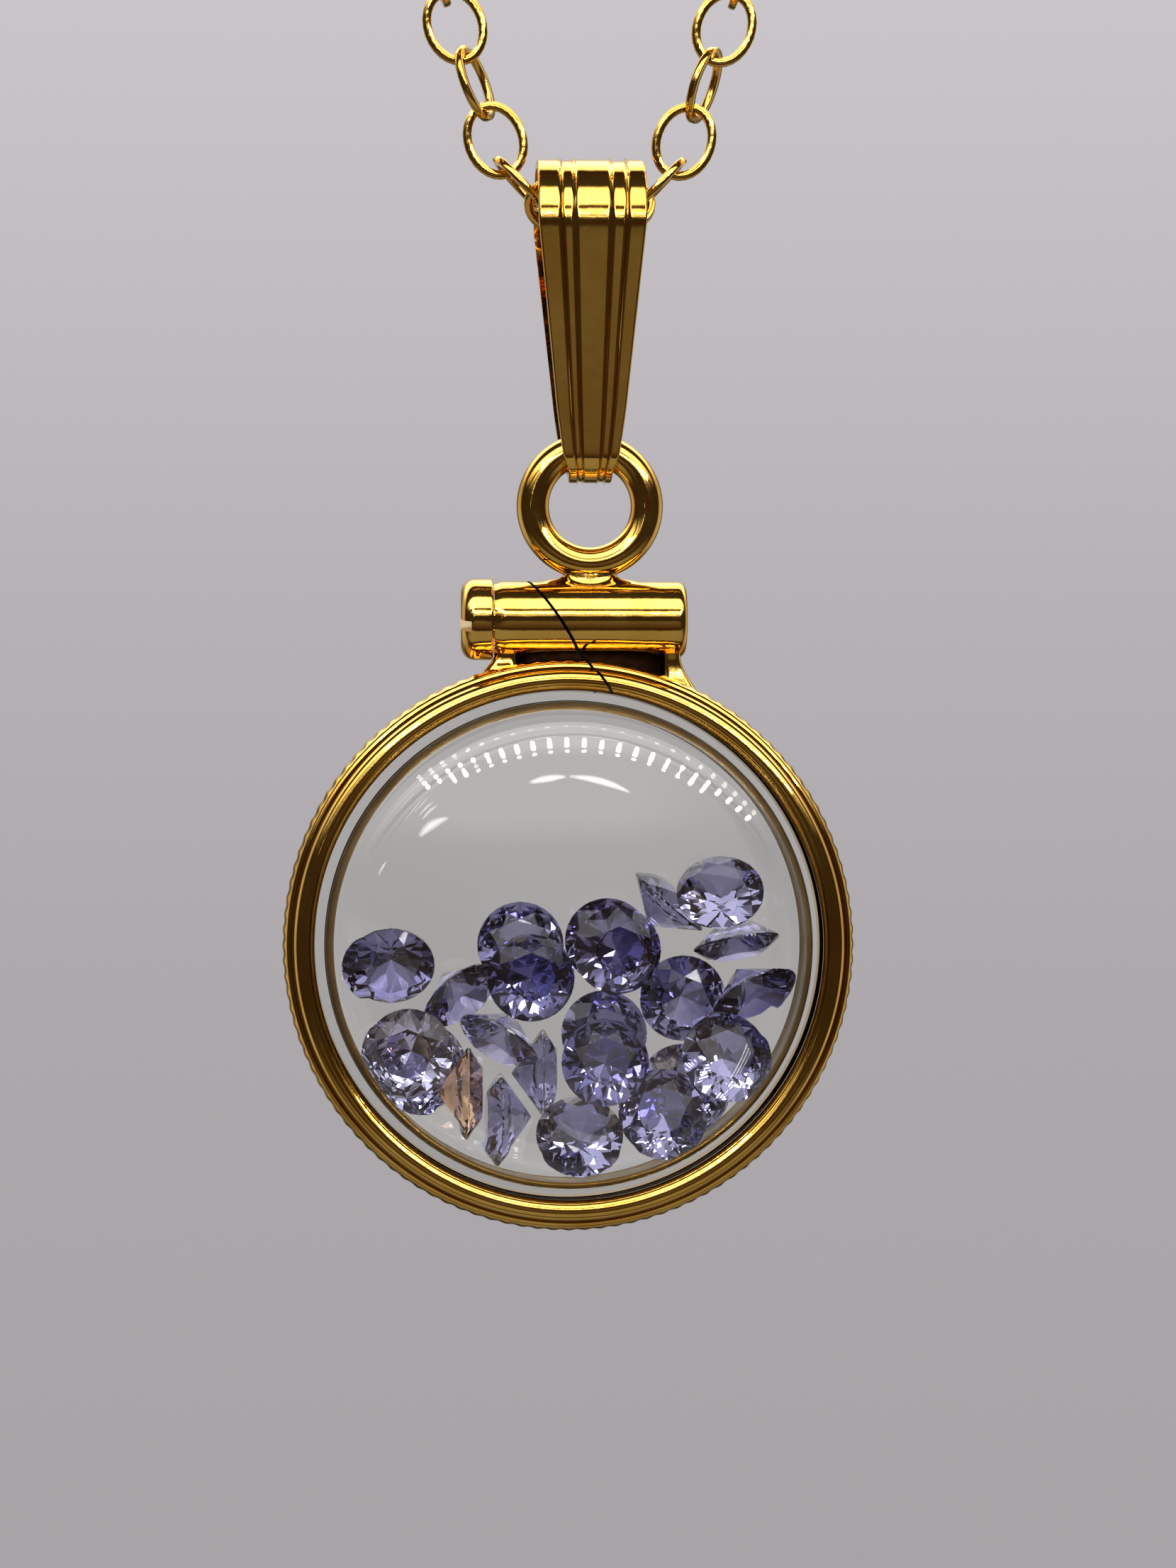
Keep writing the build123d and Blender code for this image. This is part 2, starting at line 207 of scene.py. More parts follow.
def new_piece(name, verts, faces, material, smooth_angle=35):
    """Makes an object at the origin from points in metres, smooth but for edges past an angle in degrees."""
    mesh = bpy.data.meshes.new(name)
    mesh.from_pydata([tuple(v) for v in verts], [], faces)
    mesh.update()
    piece = bpy.data.objects.new(name, mesh)
    bpy.context.scene.collection.objects.link(piece)
    mesh.materials.append(material)
    finish_normals(mesh, smooth_angle)
    return piece


def welded(mesh):
    """A copy of a mesh to work on, with points that meet made one."""
    bm = bmesh.new()
    bm.from_mesh(mesh)
    bmesh.ops.remove_doubles(bm, verts=bm.verts, dist=MERGE)
    return bm


def finish_normals(mesh, smooth_angle):
    """Turns faces outward and marks the sharp edges."""
    bm = welded(mesh)
    bmesh.ops.recalc_face_normals(bm, faces=bm.faces)
    limit = math.radians(smooth_angle)
    for face in bm.faces:
        face.smooth = True
    for edge in bm.edges:
        edge.smooth = edge.calc_face_angle(0) < limit
    bm.to_mesh(mesh)
    bm.free()
    mesh.update()


def grid_faces(rows, columns, close_rows=True, close_columns=True):
    """Quads of a grid of points, closed round in one or both ways."""
    faces = []
    for i in range(rows if close_rows else rows - 1):
        for j in range(columns if close_columns else columns - 1):
            a, b = i * columns + j, i * columns + (j + 1) % columns
            c, d = ((i + 1) % rows) * columns + (j + 1) % columns, ((i + 1) % rows) * columns + j
            faces.append((a, b, c, d))
    return faces


def arc(centre_x, centre_y, radius, start, end, steps):
    """Points of an arc in the plane, with angles in degrees."""
    turns = (math.radians(start + (end - start) * i / steps) for i in range(steps + 1))
    return [(centre_x + radius * math.cos(turn), centre_y + radius * math.sin(turn)) for turn in turns]


def turned(profile, steps, place):
    """Revolves a closed profile of (radius, height) points, each placed by place(radius, height, angle)."""
    verts = []
    for i in range(steps):
        angle = 2 * math.pi * i / steps
        verts += [place(r, h, angle) for r, h in profile]
    return verts, grid_faces(steps, len(profile))


def about_rim(r, h, angle):
    """A point round the rim's axis, front to back."""
    return RIM_CENTRE + Vector((r * math.cos(angle), h, r * math.sin(angle)))


def about_barrel(r, x, angle):
    """A point round the barrel's axis."""
    return BARREL_CENTRE + Vector((x, r * math.cos(angle), r * math.sin(angle)))


def baked(piece, name):
    """Turns a piece with modifiers into a plain mesh under the same object name."""
    graph = bpy.context.evaluated_depsgraph_get()
    whole = piece.evaluated_get(graph)
    mesh = bpy.data.meshes.new_from_object(whole, preserve_all_data_layers=True, depsgraph=graph)
    piece.modifiers.clear()
    old = piece.data
    piece.data = mesh
    mesh.name = name
    if old.users == 0:
        bpy.data.meshes.remove(old)
    return piece


def combine(piece, other, operation):
    """Joins or cuts one solid with another and removes the other."""
    step = piece.modifiers.new("solid", "BOOLEAN")
    step.operation = operation
    step.solver = "EXACT"
    step.material_mode = "TRANSFER"
    step.object = other
    baked(piece, piece.name)
    bpy.data.objects.remove(other)
    return piece


def box_piece(name, centre, size, turn, material):
    """A box turned about its middle."""
    verts = [
        centre + turn @ Vector((x * size[0] / 2, y * size[1] / 2, z * size[2] / 2))
        for x in (-1, 1) for y in (-1, 1) for z in (-1, 1)
    ]
    faces = [(0, 1, 3, 2), (4, 6, 7, 5), (0, 4, 5, 1), (2, 3, 7, 6), (0, 2, 6, 4), (1, 5, 7, 3)]
    return new_piece(name, verts, faces, material)


# Node trees

def fill(tree, node, inputs):
    """Links or sets a node's inputs, by name or number."""
    for key, value in inputs.items():
        socket = node.inputs[key]
        if isinstance(value, bpy.types.NodeSocket):
            tree.links.new(value, socket)
        else:
            socket.default_value = value
    return node


def add_node(tree, kind, inputs=None, **settings):
    """Adds a node with its settings and inputs."""
    node = tree.nodes.new(kind)
    for key, value in settings.items():
        setattr(node, key, value)
    return fill(tree, node, inputs or {})


def result(tree, kind, inputs=None, **settings):
    """First output of a new node."""
    return add_node(tree, kind, inputs, **settings).outputs[0]


def maths(tree, operation, *values):
    """Result of a math node."""
    return result(tree, "ShaderNodeMath", dict(enumerate(values)), operation=operation)


def vector_maths(tree, operation, *values):
    """Result of a vector math node."""
    node = add_node(tree, "ShaderNodeVectorMath", dict(enumerate(values)), operation=operation)
    return node.outputs["Value" if operation == "LENGTH" else "Vector"]


def map_range(tree, value, low, high, to_low=0.0, to_high=1.0, **settings):
    """Spreads a value from one range to another."""
    ends = {"Value": value, "From Min": low, "From Max": high, "To Min": to_low, "To Max": to_high}
    return result(tree, "ShaderNodeMapRange", ends, **settings)


def mixed(tree, factor, first, second):
    """Blend of two colours."""
    ends = {"Factor": factor, "A": first, "B": second}
    return add_node(tree, "ShaderNodeMix", ends, data_type="RGBA").outputs["Result"]


def shade_noise(tree, scale, detail=3, low=0.0, high=1.0):
    """A noise pattern on object coordinates, spread between two values."""
    place = add_node(tree, "ShaderNodeTexCoord").outputs["Object"]
    noise = result(tree, "ShaderNodeTexNoise", {"Vector": place, "Scale": scale, "Detail": detail})
    return map_range(tree, noise, 0.3, 0.7, low, high)


def new_material(name):
    """A material with its shader, cleared to one Principled node."""
    material = bpy.data.materials.new(name)
    material.use_nodes = True
    tree = material.node_tree
    return material, tree, tree.nodes["Principled BSDF"]


def gold_finish(name, roughness, ripple):
    """Polished gold with warmer patches, fine wear in its roughness and a slight ripple."""
    colours = bpy.context.scene.locket_finishes
    material, tree, shader = new_material(name)
    waves = shade_noise(tree, 1300, 3)
    bump = result(tree, "ShaderNodeBump", {"Height": waves, "Strength": ripple, "Distance": 0.00002})
    fill(tree, shader, {
        "Base Color": mixed(tree, shade_noise(tree, 450, 2), (*colours.gold, 1), (*colours.gold_deep, 1)),
        "Roughness": shade_noise(tree, 2600, 4, roughness * 0.7, roughness * 1.5),
        "Metallic": 1.0,
        "Normal": bump,
    })
    return material


def dull_finish(name, tint, shade, clouds, metallic, wear):
    """Dull cloudy metal, from a tint to a darker shade of it."""
    material, tree, shader = new_material(name)
    tint = Vector(tint)
    fill(tree, shader, {
        "Base Color": mixed(tree, shade_noise(tree, clouds, 3), (*tint, 1), (*(shade * tint), 1)),
        "Metallic": metallic,
        "Roughness": shade_noise(tree, *wear),
    })
    return material


def crystal_finish(name):
    """Clear glass with a breath of haze."""
    material, tree, shader = new_material(name)
    fill(tree, shader, {
        "Roughness": shade_noise(tree, 300, 4, 0.0, 0.012),
        "Base Color": (0.985, 0.985, 0.995, 1),
        "Transmission Weight": 1.0,
        "IOR": 1.5,
    })
    return material


def stone_finish(name):
    """Faceted violet stone that takes its tint from the stone's own attribute."""
    material, tree, shader = new_material(name)
    tint = add_node(tree, "ShaderNodeAttribute", attribute_name="tint").outputs["Color"]
    cloud = maths(tree, "MULTIPLY", shade_noise(tree, 500, 3), 0.25)
    fill(tree, shader, {
        "Base Color": mixed(tree, cloud, tint, (0.78, 0.76, 0.95, 1)),
        "Roughness": 0.0,
        "Transmission Weight": 1.0,
        "IOR": 1.62,
    })
    return material


def finish_named(name):
    """Gives a material, made when it is first asked for."""
    colours = bpy.context.scene.locket_finishes
    makers = {
        "polished_gold": lambda: gold_finish(name, 0.06, 0.14),
        "chain_gold": lambda: gold_finish(name, 0.09, 0.1),
        # near-black painted shade inside the saw cut and in the seam's gap under the barrel
        "painted_shade_dark": lambda: dull_finish(name, colours.painted_shade, 0.4, 3000, 1.0, (2600, 2, 0.35, 0.55)),
        # painted reflection: a brown-gold film behind the glass of the chamber's wall, for the rim's gold seen
        # through the glass
        "painted_gold_reflection_wall": lambda: dull_finish(name, colours.painted_gold_reflection, 0.7, 900, 0.5, (1500, 2, 0.3, 0.5)),
        "clear_crystal": lambda: crystal_finish(name),
        "violet_stone_cut": lambda: stone_finish(name),
    }
    return bpy.data.materials.get(name) or makers[name]()


def new_tree(name, counts, measures):
    """A geometry tree with inputs for its geometry, material, counts and measures."""
    tree = bpy.data.node_groups.new(name, "GeometryNodeTree")
    kinds = {"Geometry": "NodeSocketGeometry", "Material": "NodeSocketMaterial"}
    kinds |= dict.fromkeys(counts, "NodeSocketInt") | dict.fromkeys(measures, "NodeSocketFloat")
    for label, kind in kinds.items():
        tree.interface.new_socket(label, in_out="INPUT", socket_type=kind)
    tree.interface.new_socket("Geometry", in_out="OUTPUT", socket_type="NodeSocketGeometry")
    return tree, tree.nodes.new("NodeGroupInput").outputs


def end_tree(tree, geometry, material):
    """Ends a geometry tree in real, smooth meshes with their material."""
    real = result(tree, "GeometryNodeRealizeInstances", {"Geometry": geometry})
    smooth = result(tree, "GeometryNodeSetShadeSmooth", {"Geometry": real})
    dressed = result(tree, "GeometryNodeSetMaterial", {"Geometry": smooth, "Material": material})
    add_node(tree, "NodeGroupOutput", {0: dressed})


def run_tree(piece, tree, values):
    """Runs a geometry tree on a piece and keeps its result as a plain mesh."""
    step = piece.modifiers.new(tree.name, "NODES")
    step.node_group = tree
    names = {item.name: item.identifier for item in tree.interface.items_tree if item.in_out == "INPUT"}
    for label, value in values.items():
        step[names[label]] = value
    return baked(piece, piece.name)


def chain_tree():
    """One flat oval link on each point, turned by the point's own directions."""
    tree, given = new_tree(
        "Chain links", ["Steps"], ["Half Length", "Half Width", "Wire Width", "Wire Height", "Rounding"]
    )
    circle = result(tree, "GeometryNodeCurvePrimitiveCircle", {"Resolution": given["Steps"], "Radius": 1.0})
    size = result(tree, "ShaderNodeCombineXYZ", {0: given["Half Length"], 1: given["Half Width"], 2: 1.0})
    oval = result(tree, "GeometryNodeTransform", {"Geometry": circle, "Scale": size})
    wire = result(
        tree, "GeometryNodeCurvePrimitiveQuadrilateral",
        {"Width": given["Wire Width"], "Height": given["Wire Height"]},
    )
    rounding = {"Curve": wire, "Count": 1, "Radius": given["Rounding"]}
    soft = result(tree, "GeometryNodeFilletCurve", rounding, mode="POLY")
    link = result(tree, "GeometryNodeCurveToMesh", {"Curve": oval, "Profile Curve": soft})
    ways = [
        result(tree, "GeometryNodeInputNamedAttribute", {"Name": label}, data_type="FLOAT_VECTOR")
        for label in ("along", "across")
    ]
    turn = result(
        tree, "FunctionNodeAxesToRotation", dict(enumerate(ways)), primary_axis="X", secondary_axis="Y"
    )
    links = result(
        tree, "GeometryNodeInstanceOnPoints", {"Points": given["Geometry"], "Instance": link, "Rotation": turn}
    )
    end_tree(tree, links, given["Material"])
    return tree


def rim_tree():
    """A profile swept round the rim, with reeds pressed into its outer belt."""
    tree, given = new_tree("Reeded rim", ["Reeds", "Steps"], ["Path Radius", "Belt From", "Reed Depth"])
    outline = result(tree, "GeometryNodeMeshToCurve", {"Mesh": given["Geometry"]})
    circle = {"Resolution": given["Steps"], "Radius": given["Path Radius"]}
    path = result(tree, "GeometryNodeCurvePrimitiveCircle", circle)
    swept = result(tree, "GeometryNodeCurveToMesh", {"Curve": path, "Profile Curve": outline})
    place = result(tree, "GeometryNodeInputPosition")
    x, y, z = add_node(tree, "ShaderNodeSeparateXYZ", {0: place}).outputs
    wave = maths(tree, "MULTIPLY", maths(tree, "ARCTAN2", y, x), given["Reeds"])
    press = maths(tree, "MULTIPLY_ADD", maths(tree, "COSINE", wave), -0.5, 0.5)
    flat = vector_maths(tree, "MULTIPLY", place, (1, 1, 0))
    outer = maths(tree, "GREATER_THAN", vector_maths(tree, "LENGTH", flat), given["Belt From"])
    depth = maths(tree, "MULTIPLY", maths(tree, "MULTIPLY", press, given["Reed Depth"]), outer)
    inward = {0: vector_maths(tree, "NORMALIZE", flat), "Scale": maths(tree, "MULTIPLY", depth, -1.0)}
    shift = result(tree, "ShaderNodeVectorMath", inward, operation="SCALE")
    reeded = result(tree, "GeometryNodeSetPosition", {"Geometry": swept, "Offset": shift})
    end_tree(tree, reeded, given["Material"])
    return tree


# Pieces

def link_places():
    """Reads each chain link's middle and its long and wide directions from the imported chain."""
    bm = welded(frame["nodes"]["chain"].data)
    seen, places = set(), []
    for start in bm.verts:
        if start.index in seen:
            continue
        stack, island = [start], []
        seen.add(start.index)
        while stack:
            vert = stack.pop()
            island.append(vert.co)
            for edge in vert.link_edges:
                other = edge.other_vert(vert)
                if other.index not in seen:
                    seen.add(other.index)
                    stack.append(other)
        points = np.array(island, float)
        low, high = points.min(0), points.max(0)
        middle = points.mean(0)
        spread = np.linalg.eigh(np.cov((points - middle).T))[1]
        places.append(((low + high) / 2, spread[:, 2], spread[:, 1]))
    bm.free()
    return places


class LOCKET_OT_chain(bpy.types.Operator):
    """Makes the cable chain's links"""
    bl_idname = "locket.chain"
    bl_label = "Chain"

    def execute(self, context):
        sizes = context.scene.locket_chain
        places = link_places()
        gold = finish_named("chain_gold")
        piece = new_piece("chain_links", [middle for middle, along, across in places], [], gold)
        for label, column in (("along", 1), ("across", 2)):
            ways = piece.data.attributes.new(label, "FLOAT_VECTOR", "POINT")
            ways.data.foreach_set("vector", np.array([row[column] for row in places], np.float32).ravel())
        run_tree(piece, chain_tree(), {
            "Material": gold,
            "Steps": sizes.path_steps,
            "Half Length": (sizes.link_length - sizes.wire_width) / 2,
            "Half Width": (sizes.link_width - sizes.wire_width) / 2,
            "Wire Width": sizes.wire_width,
            "Wire Height": sizes.wire_height,
            "Rounding": sizes.wire_round,
        })
        finish_normals(piece.data, 50)
        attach(piece, "neck_chain")
        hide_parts("chain")
        clasp = frame["nodes"]["clasp"]
        clasp.data.materials[0] = finish_named("polished_gold")
        return {"FINISHED"}


def bail_path(sizes):
    """Outer side profile of the bail as (y, z, normal y, normal z), once round from the top."""
    top = CHAIN_AXIS.z - sizes.loop_drop
    fold = RING_CENTRE.z + bpy.context.scene.locket_barrel.ring_radius
    lean = math.asin((sizes.loop_radius - sizes.fold_radius) / (top - fold))
    path = []
    for centre, radius, start, end, steps in (
        (top, sizes.loop_radius, -math.degrees(lean), 180 + math.degrees(lean), 96),
        (fold, sizes.fold_radius, 180 + math.degrees(lean), 360 - math.degrees(lean), 64),
    ):
        path += [
            (radius * math.cos(a), centre + radius * math.sin(a), math.cos(a), math.sin(a))
            for a in (math.radians(start + (end - start) * i / steps) for i in range(steps + 1))
        ]
    filled = []
    for here, there in zip(path, path[1:] + path[:1]):
        gap = math.dist(here[:2], there[:2])
        parts = max(1, round(gap / 0.0004))
        for i in range(parts):
            t = i / parts
            filled.append(tuple(a + (b - a) * t for a, b in zip(here, there)))
    return filled, top, fold


def bail_relief(share, sizes):
    """Height of the strap's face at a share of its width: raised lines beside two shallow channels."""
    height = 0.0
    for left, right in ((-0.29, -0.165), (0.175, 0.32)):
        if left < share < right:
            height -= sizes.channel
        for line in (left, right):
            height += sizes.ridge * math.exp(-(((share - line) / 0.016) ** 2))
    return height


class LOCKET_OT_bail(bpy.types.Operator):
    """Makes the folded strap bail"""
    bl_idname = "locket.bail"
    bl_label = "Bail"

    def execute(self, context):
        sizes = context.scene.locket_bail
        path, top, fold = bail_path(sizes)
        count = 97
        shares = [-0.5 + i / (count - 1) for i in range(count)]
        rows = [
            (fold - sizes.lip_drop, sizes.lip_width), (fold - sizes.fold_drop, sizes.fold_width),
            (fold + sizes.neck_rise, sizes.neck_width), (top, sizes.top_width),
        ]
        edge = 0.00006
        verts = []
        for y, z, ny, nz in path:
            width = float(np.interp(z, [r[0] for r in rows], [r[1] for r in rows]))
            for share in shares:
                soft = edge * max(0.0, 1 - (0.5 - abs(share)) * width / edge) ** 2
                lift = bail_relief(share, sizes) - soft
                verts.append((share * width, y + ny * lift, z + nz * lift))
            for share in reversed(shares[:: (count - 1) // 4]):
                verts.append((share * width, y - ny * sizes.strap, z - nz * sizes.strap))
        columns = len(verts) // len(path)
        gold = finish_named("polished_gold")
        piece = new_piece("bail_strap", verts, grid_faces(len(path), columns), gold, 60)
        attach(piece, "bail")
        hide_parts("bail")
        return {"FINISHED"}


def rim_profile(sizes):
    """Closed section of the rim as (radius, height) points, front and back alike."""
    break_edge, belt_steps = 0.00004, 8
    valley = sizes.radius - sizes.belt_depth
    lip, bank = valley - 2 * sizes.bead, valley + sizes.valley_width
    groove, inner = lip + sizes.groove_depth, bank + break_edge
    bottom = sizes.belt_half - sizes.valley_depth
    half = [(groove, 0), (groove, sizes.groove_half), (lip + break_edge, sizes.groove_half)]
    half += arc(valley - sizes.bead, sizes.belt_half + sizes.bead_offset, sizes.bead, 180, 0, 20)
    half += [(valley, bottom), (bank, bottom), (bank, sizes.belt_half - break_edge), (inner, sizes.belt_half)]
    for i in range(1, belt_steps + 1):
        turn = i / belt_steps * math.pi / 2
        half.append((
            inner + (sizes.radius - inner) * math.sin(turn) ** 0.9,
            sizes.belt_half - sizes.belt_cone * (1 - math.cos(turn)) ** 0.8,
        ))
    half += [(sizes.radius, sizes.belt_half * 0.3), (sizes.radius, 0)]
    return half + [(r, -h) for r, h in reversed(half[1:-1])]


class LOCKET_OT_bezel(bpy.types.Operator):
    """Makes the reeded rim with its barrel and ring soldered on"""
    bl_idname = "locket.bezel"
    bl_label = "Bezel"

    def execute(self, context):
        rim, sizes = context.scene.locket_rim, context.scene.locket_barrel
        gold = finish_named("polished_gold")
        profile = rim_profile(rim)
        path_radius = rim.radius - rim.belt_depth
        edges = [(i, (i + 1) % len(profile)) for i in range(len(profile))]
        section = bpy.data.meshes.new("rim_section")
        section.from_pydata([(r - path_radius, h, 0) for r, h in profile], edges, [])
        piece = bpy.data.objects.new("bezel_rim", section)
        context.scene.collection.objects.link(piece)
        run_tree(piece, rim_tree(), {
            "Material": gold,
            "Reeds": rim.reeds,
            "Steps": rim.reeds * 6,
            "Path Radius": path_radius,
            "Belt From": rim.radius - rim.belt_depth * 0.25,
            "Reed Depth": rim.reed_depth,
        })
        piece.data.transform(Matrix.Translation(RIM_CENTRE) @ Matrix.Rotation(math.pi / 2, 4, "X"))
        finish_normals(piece.data, 30)

        radius, half = sizes.diameter / 2, sizes.length / 2
        bore = [(sizes.bore / 2, half - sizes.end_wall), (ON_AXIS, half - sizes.end_wall)]
        profile = [(ON_AXIS, half)]
        profile += [(r, x) for x, r in arc(half - sizes.edge, radius - sizes.edge, sizes.edge, 0, 90, 8)]
        profile += [(radius, x * half / 12) for x in range(10, -12, -1)]
        profile += [(radius - 0.00008, -half), (sizes.bore / 2, -half)] + bore
        barrel = new_piece("barrel", *turned(profile, 96, about_barrel), gold)
        ring = ring_piece(sizes, gold)
        middle, flare = sizes.web_length / 2, sizes.web_flare
        webs = [
            web_piece(name, span, tails, width, rim, sizes, finish_named(finish))
            for name, span, tails, width, finish in (
                # the middle web is near-black painted shade in the gap under the barrel; the flares are gold
                # solder
                ("painted_shade_web", (-middle, middle), (0, 0), sizes.web_width * 1.25, "painted_shade_dark"),
                ("left_flare", (-middle - 0.0008, -middle), (flare, 0), sizes.web_width, "polished_gold"),
                ("right_flare", (middle, middle + 0.00065), (0, flare), sizes.web_width, "polished_gold"),
            )
        ]
        foot = foot_piece(sizes, gold)
        for part in (*webs, barrel, foot, ring):
            combine(piece, part, "UNION")
        mouth = -half - 0.0005
        drill = turned([(ON_AXIS, mouth), (sizes.bore / 2, mouth)] + bore, 64, about_barrel)
        combine(piece, new_piece("bore", *drill, gold), "DIFFERENCE")
        # the cut's inner faces take the cutter's near-black painted shade
        slit = box_piece(
            "slit", BARREL_CENTRE + Vector((sizes.slit_shift, 0, 0)),
            (sizes.slit_width, 2 * sizes.diameter, 3 * sizes.diameter),
            Matrix.Rotation(-sizes.slit_angle, 3, "Y") @ Matrix.Rotation(sizes.slit_lean, 3, "Z"),
            finish_named("painted_shade_dark"),
        )
        combine(piece, slit, "DIFFERENCE")
        finish_normals(piece.data, 35)
        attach(piece, "locket")
        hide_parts("bezel")
        return {"FINISHED"}


def ring_piece(sizes, material):
    """The ring's round wire."""
    wire = [(sizes.ring_radius + r, h) for r, h in arc(0, 0, sizes.ring_wire / 2, 0, 352.5, 47)]
    verts, faces = turned(
        wire, 128, lambda r, h, angle: RING_CENTRE + Vector((r * math.cos(angle), h, r * math.sin(angle)))
    )
    return new_piece("ring", verts, faces, material)


def lofted(name, layers, material):
    """A solid through rings of points, closed at both ends."""
    steps, last = len(layers[0]), (len(layers) - 1) * len(layers[0])
    faces = grid_faces(len(layers), steps, close_rows=False)
    faces += [tuple(range(steps)), tuple(range(last, last + steps))]
    return new_piece(name, [point for layer in layers for point in layer], faces, material, 60)


def foot_piece(sizes, material):
    """Solder round the ring's foot: a low skirt that follows the barrel and rises to the ring."""
    outlines = (
        # half length, half width, rise over the barrel
        (0.0021, 0.00075, -0.00025), (0.0021, 0.00075, -0.00003), (0.0016, 0.00066, 0.00003),
        (0.0012, 0.00060, 0.00008), (0.00098, 0.00058, 0.00016), (0.00092, 0.00058, 0.00026),
        (0.0009, 0.00057, 0.00036), (0.0003, 0.0002, 0.0004),
    )
    steps, layers = 64, []
    for half_length, half_width, rise in outlines:
        layer = []
        for i in range(steps):
            turn = 2 * math.pi * i / steps
            y = half_width * math.sin(turn)
            up = math.sqrt((sizes.diameter / 2) ** 2 - y**2) + rise
            layer.append(BARREL_CENTRE + Vector((half_length * math.cos(turn), y, up)))
        layers.append(layer)
    return lofted("foot", layers, material)


def web_piece(name, span, tails, width, rim, sizes, material):
    """Solid between barrel and rim over a span of the barrel, with a tail along the rim at each end: gold
    solder at the flares, and the seam's near-black middle, which is painted shade in the gap under the barrel.
    """
    steps, levels, layers = 72, 12, []
    top, seat = BARREL_CENTRE.z - sizes.diameter * 0.3, rim.radius - rim.belt_depth / 2
    for k in range(levels):
        t = k / (levels - 1)
        spread = max(0.0, (t - 0.3) / 0.7) ** 2.0
        low, high = span[0] - tails[0] * spread, span[1] + tails[1] * spread
        pinch, layer = 1 - 0.16 * math.sin(math.pi * t), []
        for i in range(steps):
            c, s = math.cos(2 * math.pi * i / steps), math.sin(2 * math.pi * i / steps)
            x = (low + high) / 2 + math.copysign(abs(c) ** 0.5, c) * (high - low) / 2
            y = math.copysign(abs(s) ** 0.5, s) * width / 2 * pinch
            bottom = RIM_CENTRE.z + math.sqrt(seat ** 2 - (x - RIM_CENTRE.x) ** 2)
            layer.append(Vector((x, y, top + (bottom - top) * t)))
        layers.append(layer)
    return lofted(name, layers, material)


class LOCKET_OT_screw(bpy.types.Operator):
    """Makes the barrel's screw with its domed, slotted head"""
    bl_idname = "locket.screw"
    bl_label = "Screw"

    def execute(self, context):
        sizes = context.scene.locket_barrel
        gold = finish_named("polished_gold")
        start = -sizes.length / 2 - sizes.head_gap
        end = start - sizes.head_length
        radius, soft, dome, shank = sizes.head_diameter / 2, 0.0001, sizes.head_dome, sizes.shank / 2
        profile = [(ON_AXIS, end)]
        profile += [(r, x) for x, r in arc(end + dome, radius - dome, dome, 180, 90, 14)]
        profile += [(r, x) for x, r in arc(start - soft, radius - soft, soft, 90, 0, 5)]
        profile += [(shank, start)]
        thread_steps, thread_depth, thread_start = 160, 0.00004, 0.0009
        thread_length = sizes.shank_length - 0.0013
        for i in range(thread_steps):
            x = start + thread_start + thread_length * i / thread_steps
            profile.append((shank - thread_depth * (1 - math.cos(math.pi * i / 2)) / 2, x))
        tip, point = start + sizes.shank_length, 0.0002
        profile += [(shank, tip - point), (shank - point, tip), (ON_AXIS, tip)]
        verts, faces = turned(profile, 96, about_barrel)
        piece = new_piece("barrel_screw", verts, faces, gold)
        slot_size, slot_turn = (2 * sizes.slot_depth, 2 * sizes.head_diameter, sizes.slot_width), 0.22
        slot = box_piece(
            "slot", BARREL_CENTRE + Vector((end, 0, 0)), slot_size, Matrix.Rotation(slot_turn, 3, "X"), gold
        )
        combine(piece, slot, "DIFFERENCE")
        finish_normals(piece.data, 30)
        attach(piece, "screw")
        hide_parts("screw")
        return {"FINISHED"}


def dome_height(height, bend, radius):
    """Height of a dome's surface at a distance from its axis."""
    return height - bend + math.sqrt(bend**2 - radius**2)


def shoulder(wall, height, bend, fillet, steps):
    """Arc between a straight wall and a dome, from the wall to the dome."""
    reach = wall - fillet
    lift = dome_height(height, bend, 0) - bend + math.sqrt((bend - fillet) ** 2 - reach**2)
    tilt = math.degrees(math.asin(reach / (bend - fillet)))
    return arc(reach, lift, fillet, 0, 90 - tilt, steps)


def dome_line(height, bend, reach, steps=12):
    """Points of a dome's section from beside its axis out to just inside its reach."""
    return [(reach * i / steps, dome_height(height, bend, reach * i / steps)) for i in range(1, steps)]


def dish_radii(rim, sizes):
    """Radii of a crystal's side wall: outside of the flange, outside of the wall and inside of the wall."""
    lip = rim.radius - rim.belt_depth - 2 * rim.bead
    wall = lip - sizes.play - sizes.shelf
    return lip + rim.groove_depth - sizes.play, wall, wall - sizes.wall


def dish_profile(rim, sizes):
    """Closed section of one crystal as (radius, height) points."""
    flange, wall, chamber = dish_radii(rim, sizes)
    inside, soft = sizes.height - sizes.face, 0.00005
    profile = [(chamber, sizes.seam / 2), (flange, sizes.seam / 2), (flange, sizes.flange)]
    profile += [(wall + soft, sizes.flange), (wall, sizes.flange + soft)]
    outer = shoulder(wall, sizes.height, sizes.dome_radius, sizes.shoulder, 28)
    profile += outer + dome_line(sizes.height, sizes.dome_radius, outer[-1][0])[::-1]
    profile += [(ON_AXIS, sizes.height), (ON_AXIS, inside)]
    inner = shoulder(chamber, inside, sizes.dome_radius, sizes.inner_shoulder, 20)
    return profile + dome_line(inside, sizes.dome_radius, inner[-1][0]) + inner[::-1]


